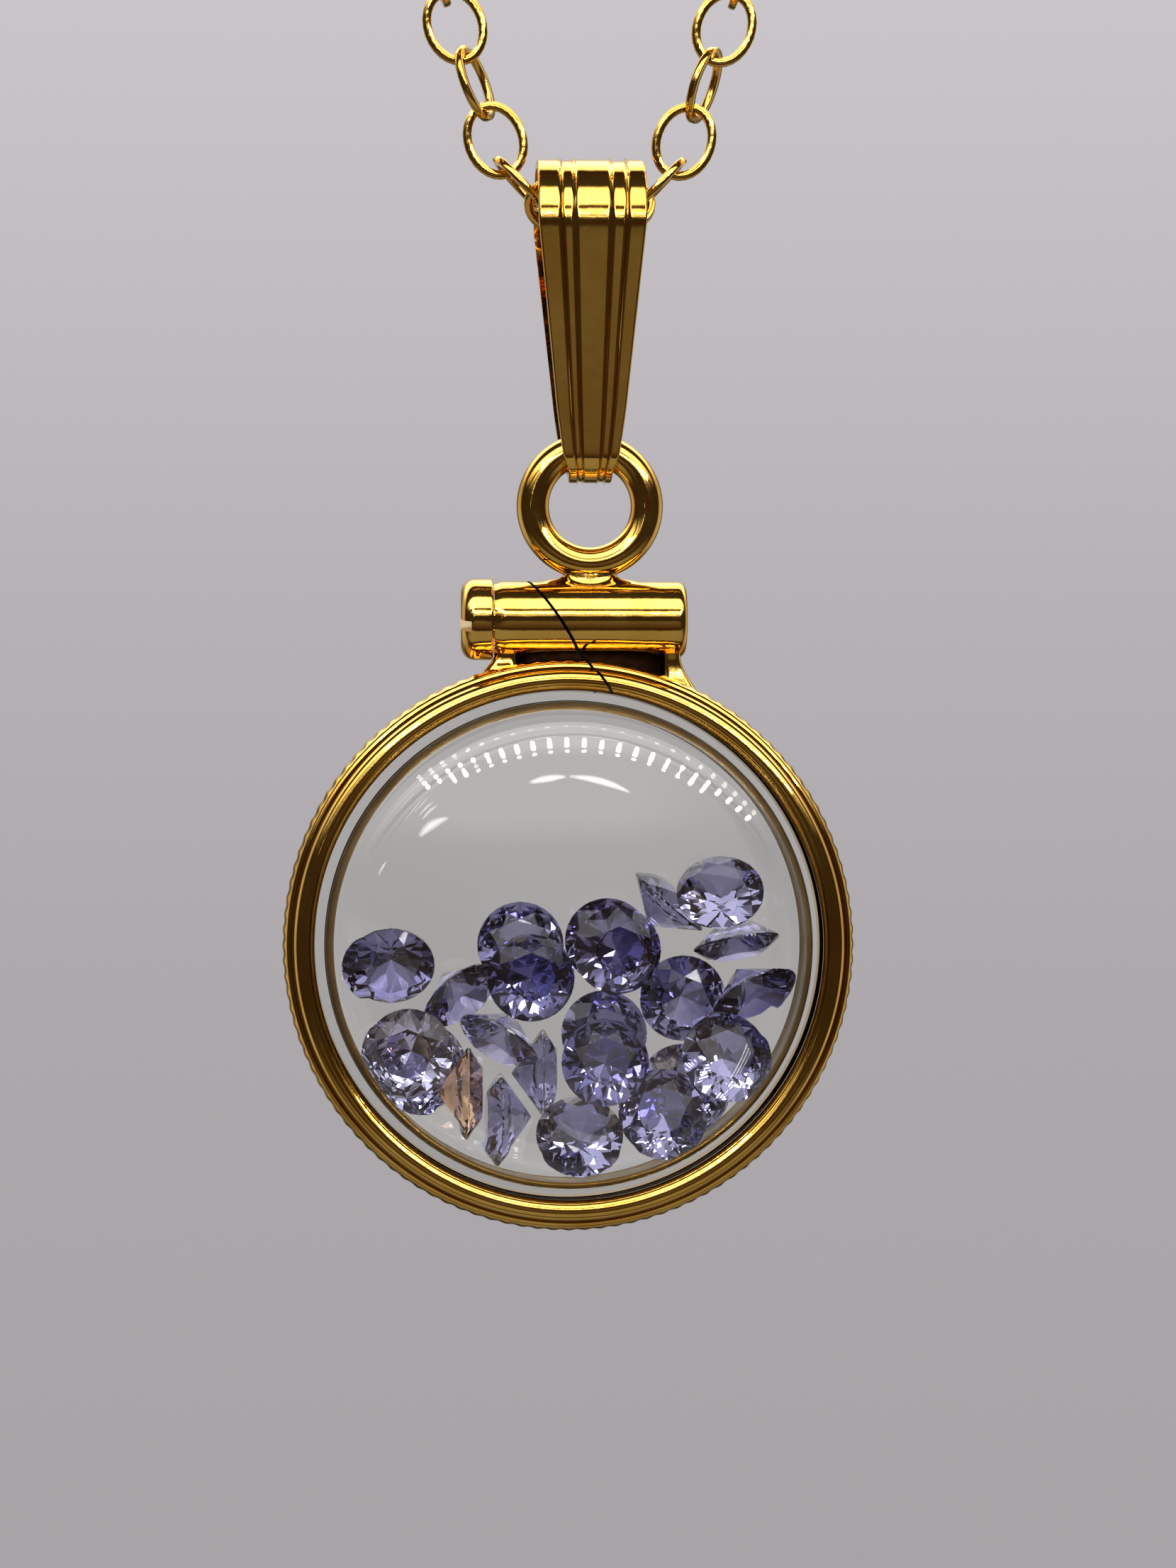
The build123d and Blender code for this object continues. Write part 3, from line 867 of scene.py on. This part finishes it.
class LOCKET_OT_crystals(bpy.types.Operator):
    """Makes the two glass dishes"""
    bl_idname = "locket.crystals"
    bl_label = "Crystals"

    def execute(self, context):
        profile = dish_profile(context.scene.locket_rim, context.scene.locket_crystals)
        glass = finish_named("clear_crystal")
        for node, side in (("crystal_front", -1), ("crystal_back", 1)):
            verts, faces = turned([(r, side * h) for r, h in profile], 256, about_rim)
            piece = new_piece(node + "_glass", verts, faces, glass, 30)
            self.paint_gold_reflection(piece, context.scene.locket_crystals)
            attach(piece, "locket")
            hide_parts(node)
        return {"FINISHED"}

    @staticmethod
    def paint_gold_reflection(piece, sizes):
        """Paints the side wall's inside with a brown-gold film, as far up as the metal hides it: a painted
        reflection of the rim's gold seen through the glass.
        """
        mesh = piece.data
        mesh.materials.append(finish_named("painted_gold_reflection_wall"))
        wall = max((v.co - RIM_CENTRE).xz.length for v in mesh.vertices if abs(v.co.y) > sizes.flange * 1.5)
        for face in mesh.polygons:
            place = face.center - RIM_CENTRE
            inside = wall - sizes.wall * 1.7 < place.xz.length < wall - sizes.wall * 0.6
            if inside and sizes.seam < abs(place.y) < sizes.painted_gold_reflection:
                face.material_index = 1


def brilliant(sizes):
    """Cuts a round brilliant from a block, table up, in metres, and gives its points and faces."""
    radius, half = sizes.diameter / 2, sizes.girdle / 2
    tilt, down = sizes.crown, sizes.pavilion
    table_height = half + (radius - sizes.table * radius) * math.tan(tilt)
    bm = bmesh.new()
    bmesh.ops.create_cube(bm, size=2 * sizes.diameter)
    planes = [(Vector((0, 0, table_height)), UP)]

    def ring(count, phase, angle, point_radius, point_height):
        for i in range(count):
            turn = math.radians(phase + 360 * i / count)
            out = Vector((math.cos(turn), math.sin(turn), 0))
            normal = out * math.sin(angle) + UP * math.cos(angle)
            planes.append((out * point_radius + UP * point_height, normal))

    eighth = math.radians(22.5)
    ring(32, 5.625, math.pi / 2, radius * math.cos(math.radians(5.625)), 0)
    ring(8, 0, tilt, radius, half)
    ring(16, 11.25, tilt + math.radians(6.5), radius * math.cos(eighth / 2), half)
    star_radius = sizes.table * radius
    ring(8, 22.5, tilt - math.radians(11.5), star_radius * math.cos(eighth), table_height)
    ring(8, 0, math.pi - down, radius, -half)
    ring(16, 11.25, math.pi - down - math.radians(1.4), radius * math.cos(eighth / 2), -half)
    for point, normal in planes:
        cut = bmesh.ops.bisect_plane(
            bm, geom=bm.verts[:] + bm.edges[:] + bm.faces[:], plane_co=point, plane_no=normal,
            clear_outer=True, dist=1e-9,
        )
        rim = [item for item in cut["geom_cut"] if isinstance(item, bmesh.types.BMEdge)]
        if len(rim) > 2:
            bmesh.ops.contextual_create(bm, geom=rim)
    bmesh.ops.remove_doubles(bm, verts=bm.verts, dist=1e-8)
    bm.verts.index_update()
    points = [v.co.copy() for v in bm.verts]
    faces = [tuple(v.index for v in face.verts) for face in bm.faces]
    bm.free()
    return points, faces


def stone_place(node):
    """Reads a stone's middle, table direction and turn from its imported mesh."""
    points = np.unique(np.round(np.array([v.co for v in frame["nodes"][node].data.vertices], float), 8), axis=0)
    middle = points.mean(0)
    values, ways = np.linalg.eigh(np.cov((points - middle).T))
    axis = ways[:, int(np.argmax(np.abs(values - np.median(values))))]
    reach = (points - middle) @ axis
    distance = np.linalg.norm((points - middle) - np.outer(reach, axis), axis=1)
    centre = points[distance > distance.max() - 2e-5].mean(0)
    reach = (points - centre) @ axis
    if reach.max() > -reach.min():
        axis, reach = -axis, -reach
    corner = points[int(np.argmax(reach))] - centre
    corner -= axis * (corner @ axis)
    return Vector(centre), Vector(axis), Vector(corner).normalized()


TINTS = (
    # share of the deep colour in each stone in turn, 0 pale to 1 deep
    0.72, 0.0, 0.93, 0.75, 0.90, 0.75, 0.55, 0.50, 0.62, 0.95, 0.68, 0.68,
    0.58, 0.75, 0.97, 0.52, 0.68, 0.62, 0.50, 0.45, 0.62, 0.55, 0.82,
)
WARM_STONE = "stone_19"


class LOCKET_OT_stones(bpy.types.Operator):
    """Cuts the loose stones and lays them in the chamber"""
    bl_idname = "locket.stones"
    bl_label = "Stones"

    def execute(self, context):
        colours = context.scene.locket_finishes
        points, faces = brilliant(context.scene.locket_stones)
        material = finish_named("violet_stone_cut")
        pale, deep = Vector(colours.stone_pale), Vector(colours.stone_deep)
        for node, depth in zip(STONE_NODES, TINTS):
            centre, axis, corner = stone_place(node)
            corner = Matrix.Rotation(math.radians(-22.5), 3, axis) @ corner
            place = Matrix((corner, axis.cross(corner), axis)).transposed()
            piece = new_piece(node + "_cut", [centre + place @ p for p in points], faces, material, 1)
            tint = Vector(colours.stone_brown) if node == WARM_STONE else pale.lerp(deep, depth)
            layer = piece.data.attributes.new("tint", "FLOAT_COLOR", "POINT")
            layer.data.foreach_set("color", [*tint, 1.0] * len(piece.data.vertices))
            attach(piece, "locket")
            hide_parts(node)
        return {"FINISHED"}


# Studio

PALE_STOPS = (
    # height in the view, light, redness
    (0.0, 0.385, 0), (0.416, 0.386, 0), (0.477, 0.413, 0), (0.518, 0.463, 0), (0.574, 0.571, 0), (0.6, 0.61, 0),
    (1.0, 0.70, 0),
)
PALE_TINT = (1.0, 0.948, 0.987)
TALL_STOPS = (
    # degrees up from the viewer over the top to the back, light, redness
    (-180, 0.47, 0), (-168, 0.30, 0), (-148, 0.04, 0), (-136, 0.04, 0), (-128, 0.22, 0), (-92, 0.34, 0),
    (-86, 0.08, 0), (-78, 0.07, 0), (-72, 0.30, 0), (-38, 0.34, 0), (-33, 0.02, 1), (-26, 0.08, 0.8),
    (-14, 0.14, 0.4), (-9.5, 0.18, 0.1), (-5, 0.05, 0.3), (7, 0.03, 0), (10, 0.9, 0), (16, 0.7, 0),
    (18, 3.0, 0), (22, 3.0, 0), (24.5, 0.08, 1), (29, 0.1, 0.6), (33, 3.6, 0), (60, 3.8, 0), (66, 0.06, 0),
    (104, 0.04, 1), (110, 2.4, 0), (132, 3.8, 0), (148, 1.0, 0), (166, 0.5, 0), (180, 0.47, 0),
)
WIDE_STOPS = (
    # degrees sideways from the viewer round to the back, light, redness
    (0, 0.05, 1), (40, 0.04, 0), (90, 0.05, 1), (98, 0.5, 0), (126, 0.66, 0), (136, 0.25, 0), (150, 0.10, 0),
    (168, 0.45, 0), (180, 0.47, 0),
)
SLIVERS = (
    # left end, right end, bow, thickness, strength, on the plane of the lamps
    ((-0.0085, 0.0885), (0.0145, 0.0925), 0.0006, 0.0034, 9),
    ((0.0165, 0.0925), (0.0545, 0.0825), 0.0022, 0.0036, 9),
    ((-0.0765, 0.055), (-0.0585, 0.067), 0.0020, 0.0042, 7),
    ((-0.077, 0.068), (-0.067, 0.077), 0.0010, 0.0024, 8),
    ((-0.109, 0.034), (-0.103, 0.043), 0.0006, 0.0024, 8),
)
CALM_LIGHT = 1.5    # the most that rays through glass and stones see
DOTS_PER_ROW = 24
DOTS_FROM, DOTS_SPAN, DOTS_LOWEST = 36, 96, 95      # degrees round the rim, from the right over the top
DOT_RISE_LEFT, DOT_RISE_RIGHT = 4.1e-7, 1.87e-7     # how the rows run outward on each side


def studio_world():
    """Pale grey to the camera. Reflections and glass see long soft lights over a dim front."""
    world = bpy.data.worlds.new("studio")
    bpy.context.scene.world = world
    world.use_nodes = True
    tree = world.node_tree
    tree.nodes.clear()
    way = add_node(tree, "ShaderNodeTexCoord").outputs["Generated"]
    x, y, z = add_node(tree, "ShaderNodeSeparateXYZ", {0: way}).outputs
    pale = ramp(tree, map_range(tree, z, -1.0, 1.0), PALE_STOPS, PALE_TINT, PALE_TINT)
    front = maths(tree, "MULTIPLY", y, -1.0)
    side, high = maths(tree, "ABSOLUTE", x), maths(tree, "ABSOLUTE", z)
    climb = map_range(tree, maths(tree, "ARCTAN2", z, front), -math.pi, math.pi)
    lights = ramp(tree, climb, [((angle + 180) / 360, light, red) for angle, light, red in TALL_STOPS])
    swing = maths(tree, "MULTIPLY", maths(tree, "ARCTAN2", side, front), 1 / math.pi)
    flanks = ramp(tree, swing, [(angle / 180, light, red) for angle, light, red in WIDE_STOPS])
    lean = maths(tree, "DIVIDE", side, maths(tree, "ADD", side, high))
    fade = map_range(tree, lean, 0.4, 0.75, interpolation_type="SMOOTHSTEP")
    soft = mixed(tree, fade, lights, flanks)
    rays = add_node(tree, "ShaderNodeLightPath").outputs
    calm = vector_maths(tree, "MINIMUM", soft, (CALM_LIGHT,) * 3)
    through = mixed(tree, rays["Is Transmission Ray"], soft, calm)
    seen = mixed(tree, rays["Is Camera Ray"], through, pale)
    add_node(tree, "ShaderNodeOutputWorld", {0: result(tree, "ShaderNodeBackground", {"Color": seen})})


def ramp(tree, value, stops, plain=(1.0, 0.97, 0.93), red=(1.0, 0.5, 0.32)):
    """A colour ramp of (place, light, redness) stops, from a plain tint to a red one."""
    node = add_node(tree, "ShaderNodeValToRGB", {0: value})
    ramp_stops = node.color_ramp.elements
    while len(ramp_stops) < len(stops):
        ramp_stops.new(0.5)
    for stop, (place, light, redness) in zip(ramp_stops, stops):
        stop.position = place
    for stop, (place, light, redness) in zip(ramp_stops, stops):
        tint = Vector(plain).lerp(Vector(red), redness)
        stop.color = (*(light * tint), 1)
    return node.outputs[0]


def glow_finish(name, strength):
    """Even glow of a lamp."""
    material = bpy.data.materials.new(name)
    material.use_nodes = True
    tree = material.node_tree
    tree.nodes.clear()
    glow = add_node(tree, "ShaderNodeEmission", {"Color": (1.0, 0.98, 0.95, 1), "Strength": strength})
    add_node(tree, "ShaderNodeOutputMaterial", {0: glow.outputs[0]})
    return material


def crystal_point(sizes, wall, radius, turn):
    """Point and normal on the front crystal's outside, by radius from the rim's axis and angle round it."""
    reach, drop = wall - sizes.shoulder, sizes.dome_radius - sizes.shoulder
    tilt, bend = math.asin(radius / sizes.dome_radius), sizes.dome_radius
    middle = sizes.height - sizes.dome_radius
    if tilt > math.asin(reach / drop):
        tilt, bend = math.asin((radius - reach) / sizes.shoulder), sizes.shoulder
        middle += math.sqrt(drop ** 2 - reach ** 2)
    out = Vector((math.cos(turn), 0, math.sin(turn)))
    normal = out * math.sin(tilt) + Vector((0, -math.cos(tilt), 0))
    return RIM_CENTRE + out * radius - Vector((0, middle + bend * math.cos(tilt), 0)), normal


def lamp_dot(name, radius, turn, eye, strength):
    """A glowing plate in front of the rim, of the shape that the crystal mirrors to the eye as a round dot."""
    scene, corners = bpy.context.scene, 8
    crystal, stage = scene.locket_crystals, scene.locket_stage
    wall = dish_radii(scene.locket_rim, crystal)[1]
    verts = []
    for i in range(corners):
        step = 2 * math.pi * i / corners
        up, along = stage.dot_size * math.cos(step), stage.dot_size * math.sin(step) / radius
        spot, normal = crystal_point(crystal, wall, radius + up, turn + along)
        sight = (eye - spot).normalized()
        ray = 2 * normal.dot(sight) * normal - sight
        verts.append(spot - ray * (stage.lamp_distance + spot.y) / ray.y)
    return new_piece(name, verts, [tuple(range(corners))], glow_finish(name, strength))


def lamp_crescent(name, start, end, bow, thickness, strength):
    """A glowing sliver from start to end, bent upward by bow and pointed at both ends."""
    steps, verts = 16, []
    across = (end - start).normalized().cross(Vector((0, 1, 0)))
    across = across if across.z > 0 else -across
    for i in range(steps + 1):
        t = i / steps
        swell = 4 * t * (1 - t)
        middle = start.lerp(end, t) + across * bow * swell
        half = across * thickness / 2 * (swell + 0.04)
        verts += [middle - half, middle + half]
    faces = [(2 * i, 2 * i + 2, 2 * i + 3, 2 * i + 1) for i in range(steps)]
    return new_piece(name, verts, faces, glow_finish(name, strength))


def dot_lamps(sizes, eye):
    """Lamps that the front crystal shows as two rows of dots of light."""
    lamps = []
    for i in range(DOTS_PER_ROW):
        share = i / (DOTS_PER_ROW - 1)
        degrees = DOTS_FROM + DOTS_SPAN * (share - 0.03 * math.sin(2 * math.pi * share))
        aside = degrees - DOTS_LOWEST
        radius = sizes.dot_radius + aside ** 2 * (DOT_RISE_LEFT if aside > 0 else DOT_RISE_RIGHT)
        gap = sizes.dot_gap * (1 - abs(aside) / 80)
        for row in range(2):
            name = f"lamp_{row}_{i:02d}"
            lamps.append(lamp_dot(name, radius + gap * row, math.radians(degrees), eye, 24))
    return lamps


def sliver_lamps(sizes):
    """Lamps that the front crystal shows as bent slivers of light."""
    lamps = []
    for i, (start, end, bow, thickness, strength) in enumerate(SLIVERS):
        ends = [RIM_CENTRE + Vector((across, -sizes.lamp_distance, up)) for across, up in (start, end)]
        lamps.append(lamp_crescent(f"sliver_{i}", *ends, bow, thickness, strength))
    return lamps


def floor_piece(sizes):
    """A round floor in rings."""
    steps, rings = 96, 12
    verts = [(0, 0, -sizes.floor_drop)]
    faces = [(0, 1 + i, 1 + (i + 1) % steps) for i in range(steps)]
    for k in range(rings):
        reach = sizes.floor_radius * (k + 1) / rings
        for i in range(steps):
            turn = 2 * math.pi * i / steps
            verts.append((reach * math.cos(turn), reach * math.sin(turn), -sizes.floor_drop))
    for k in range(rings - 1):
        for i in range(steps):
            a, b = 1 + k * steps + i, 1 + k * steps + (i + 1) % steps
            faces.append((a, a + steps, b + steps, b))
    return new_piece("floor", verts, faces, floor_finish(sizes))


class LOCKET_OT_stage(bpy.types.Operator):
    """Makes the floor, the lights and the camera"""
    bl_idname = "locket.stage"
    bl_label = "Stage"

    def execute(self, context):
        sizes = context.scene.locket_stage
        studio_world()
        aim = RING_CENTRE + Vector((sizes.aim_across, 0, -sizes.aim_down))
        back = Vector((math.sin(sizes.azimuth), -math.cos(sizes.azimuth), 0))
        eye = aim + back * sizes.distance
        for lamp in dot_lamps(sizes, eye) + sliver_lamps(sizes):
            lamp.visible_camera = False
        floor = floor_piece(sizes)
        floor.visible_glossy = False

        camera = bpy.data.objects.new("camera", bpy.data.cameras.new("camera"))
        context.scene.collection.objects.link(camera)
        camera.location = eye
        camera.rotation_mode = "QUATERNION"
        camera.rotation_quaternion = (-back).to_track_quat("-Z", "Y")
        camera.data.sensor_width = 36
        camera.data.lens = camera.data.sensor_width * sizes.distance / sizes.view_height
        camera.data.clip_start, camera.data.clip_end = 0.01, 100
        context.scene.camera = camera
        context.scene.view_settings.view_transform = "Standard"
        return {"FINISHED"}


def floor_finish(sizes):
    """Pale matt floor that fades out at its edge."""
    material, tree, shader = new_material("pale_floor")
    place = add_node(tree, "ShaderNodeTexCoord").outputs["Object"]
    reach = vector_maths(tree, "LENGTH", vector_maths(tree, "MULTIPLY", place, (1, 1, 0)))
    near, far = sizes.floor_radius * 0.3, sizes.floor_radius * 0.97
    fill(tree, shader, {
        "Base Color": mixed(tree, shade_noise(tree, 40, 3), (0.32, 0.315, 0.325, 1), (0.335, 0.33, 0.34, 1)),
        "Roughness": 0.8,
        "Alpha": map_range(tree, reach, near, far, 1.0, 0.0, interpolation_type="SMOOTHSTEP"),
    })
    return material


OPERATORS = (
    LOCKET_OT_chain, LOCKET_OT_bail, LOCKET_OT_bezel, LOCKET_OT_screw, LOCKET_OT_crystals, LOCKET_OT_stones,
    LOCKET_OT_stage,
)
GROUPS = {
    "locket_chain": ChainSizes, "locket_bail": BailSizes, "locket_rim": RimSizes, "locket_barrel": BarrelSizes,
    "locket_crystals": CrystalSizes, "locket_stones": StoneSizes, "locket_finishes": Finishes,
    "locket_stage": StageSizes,
}


class LOCKET_PT_panel(bpy.types.Panel):
    """Lists the locket's sizes and the buttons that make its pieces"""
    bl_idname = "LOCKET_PT_panel"
    bl_label = "Shaker locket"
    bl_space_type = "VIEW_3D"
    bl_region_type = "UI"
    bl_category = "Locket"

    def draw(self, context):
        for attribute, group in GROUPS.items():
            box = self.layout.box()
            box.label(text=attribute.removeprefix("locket_").title())
            for name in group.__annotations__:
                box.prop(getattr(context.scene, attribute), name)
        for operator in OPERATORS:
            self.layout.operator(operator.bl_idname)


def register():
    for group in GROUPS.values():
        bpy.utils.register_class(group)
    for attribute, group in GROUPS.items():
        setattr(bpy.types.Scene, attribute, PointerProperty(type=group))
    for kind in (*OPERATORS, LOCKET_PT_panel):
        bpy.utils.register_class(kind)


def unregister():
    for kind in reversed((*OPERATORS, LOCKET_PT_panel)):
        bpy.utils.unregister_class(kind)
    for attribute in GROUPS:
        delattr(bpy.types.Scene, attribute)
    for group in reversed(list(GROUPS.values())):
        bpy.utils.unregister_class(group)


def main():
    register()
    bpy.ops.locket.chain()
    bpy.ops.locket.bail()
    bpy.ops.locket.bezel()
    bpy.ops.locket.screw()
    bpy.ops.locket.crystals()
    bpy.ops.locket.stones()
    bpy.ops.locket.stage()


if __name__ == "__main__":
    main()
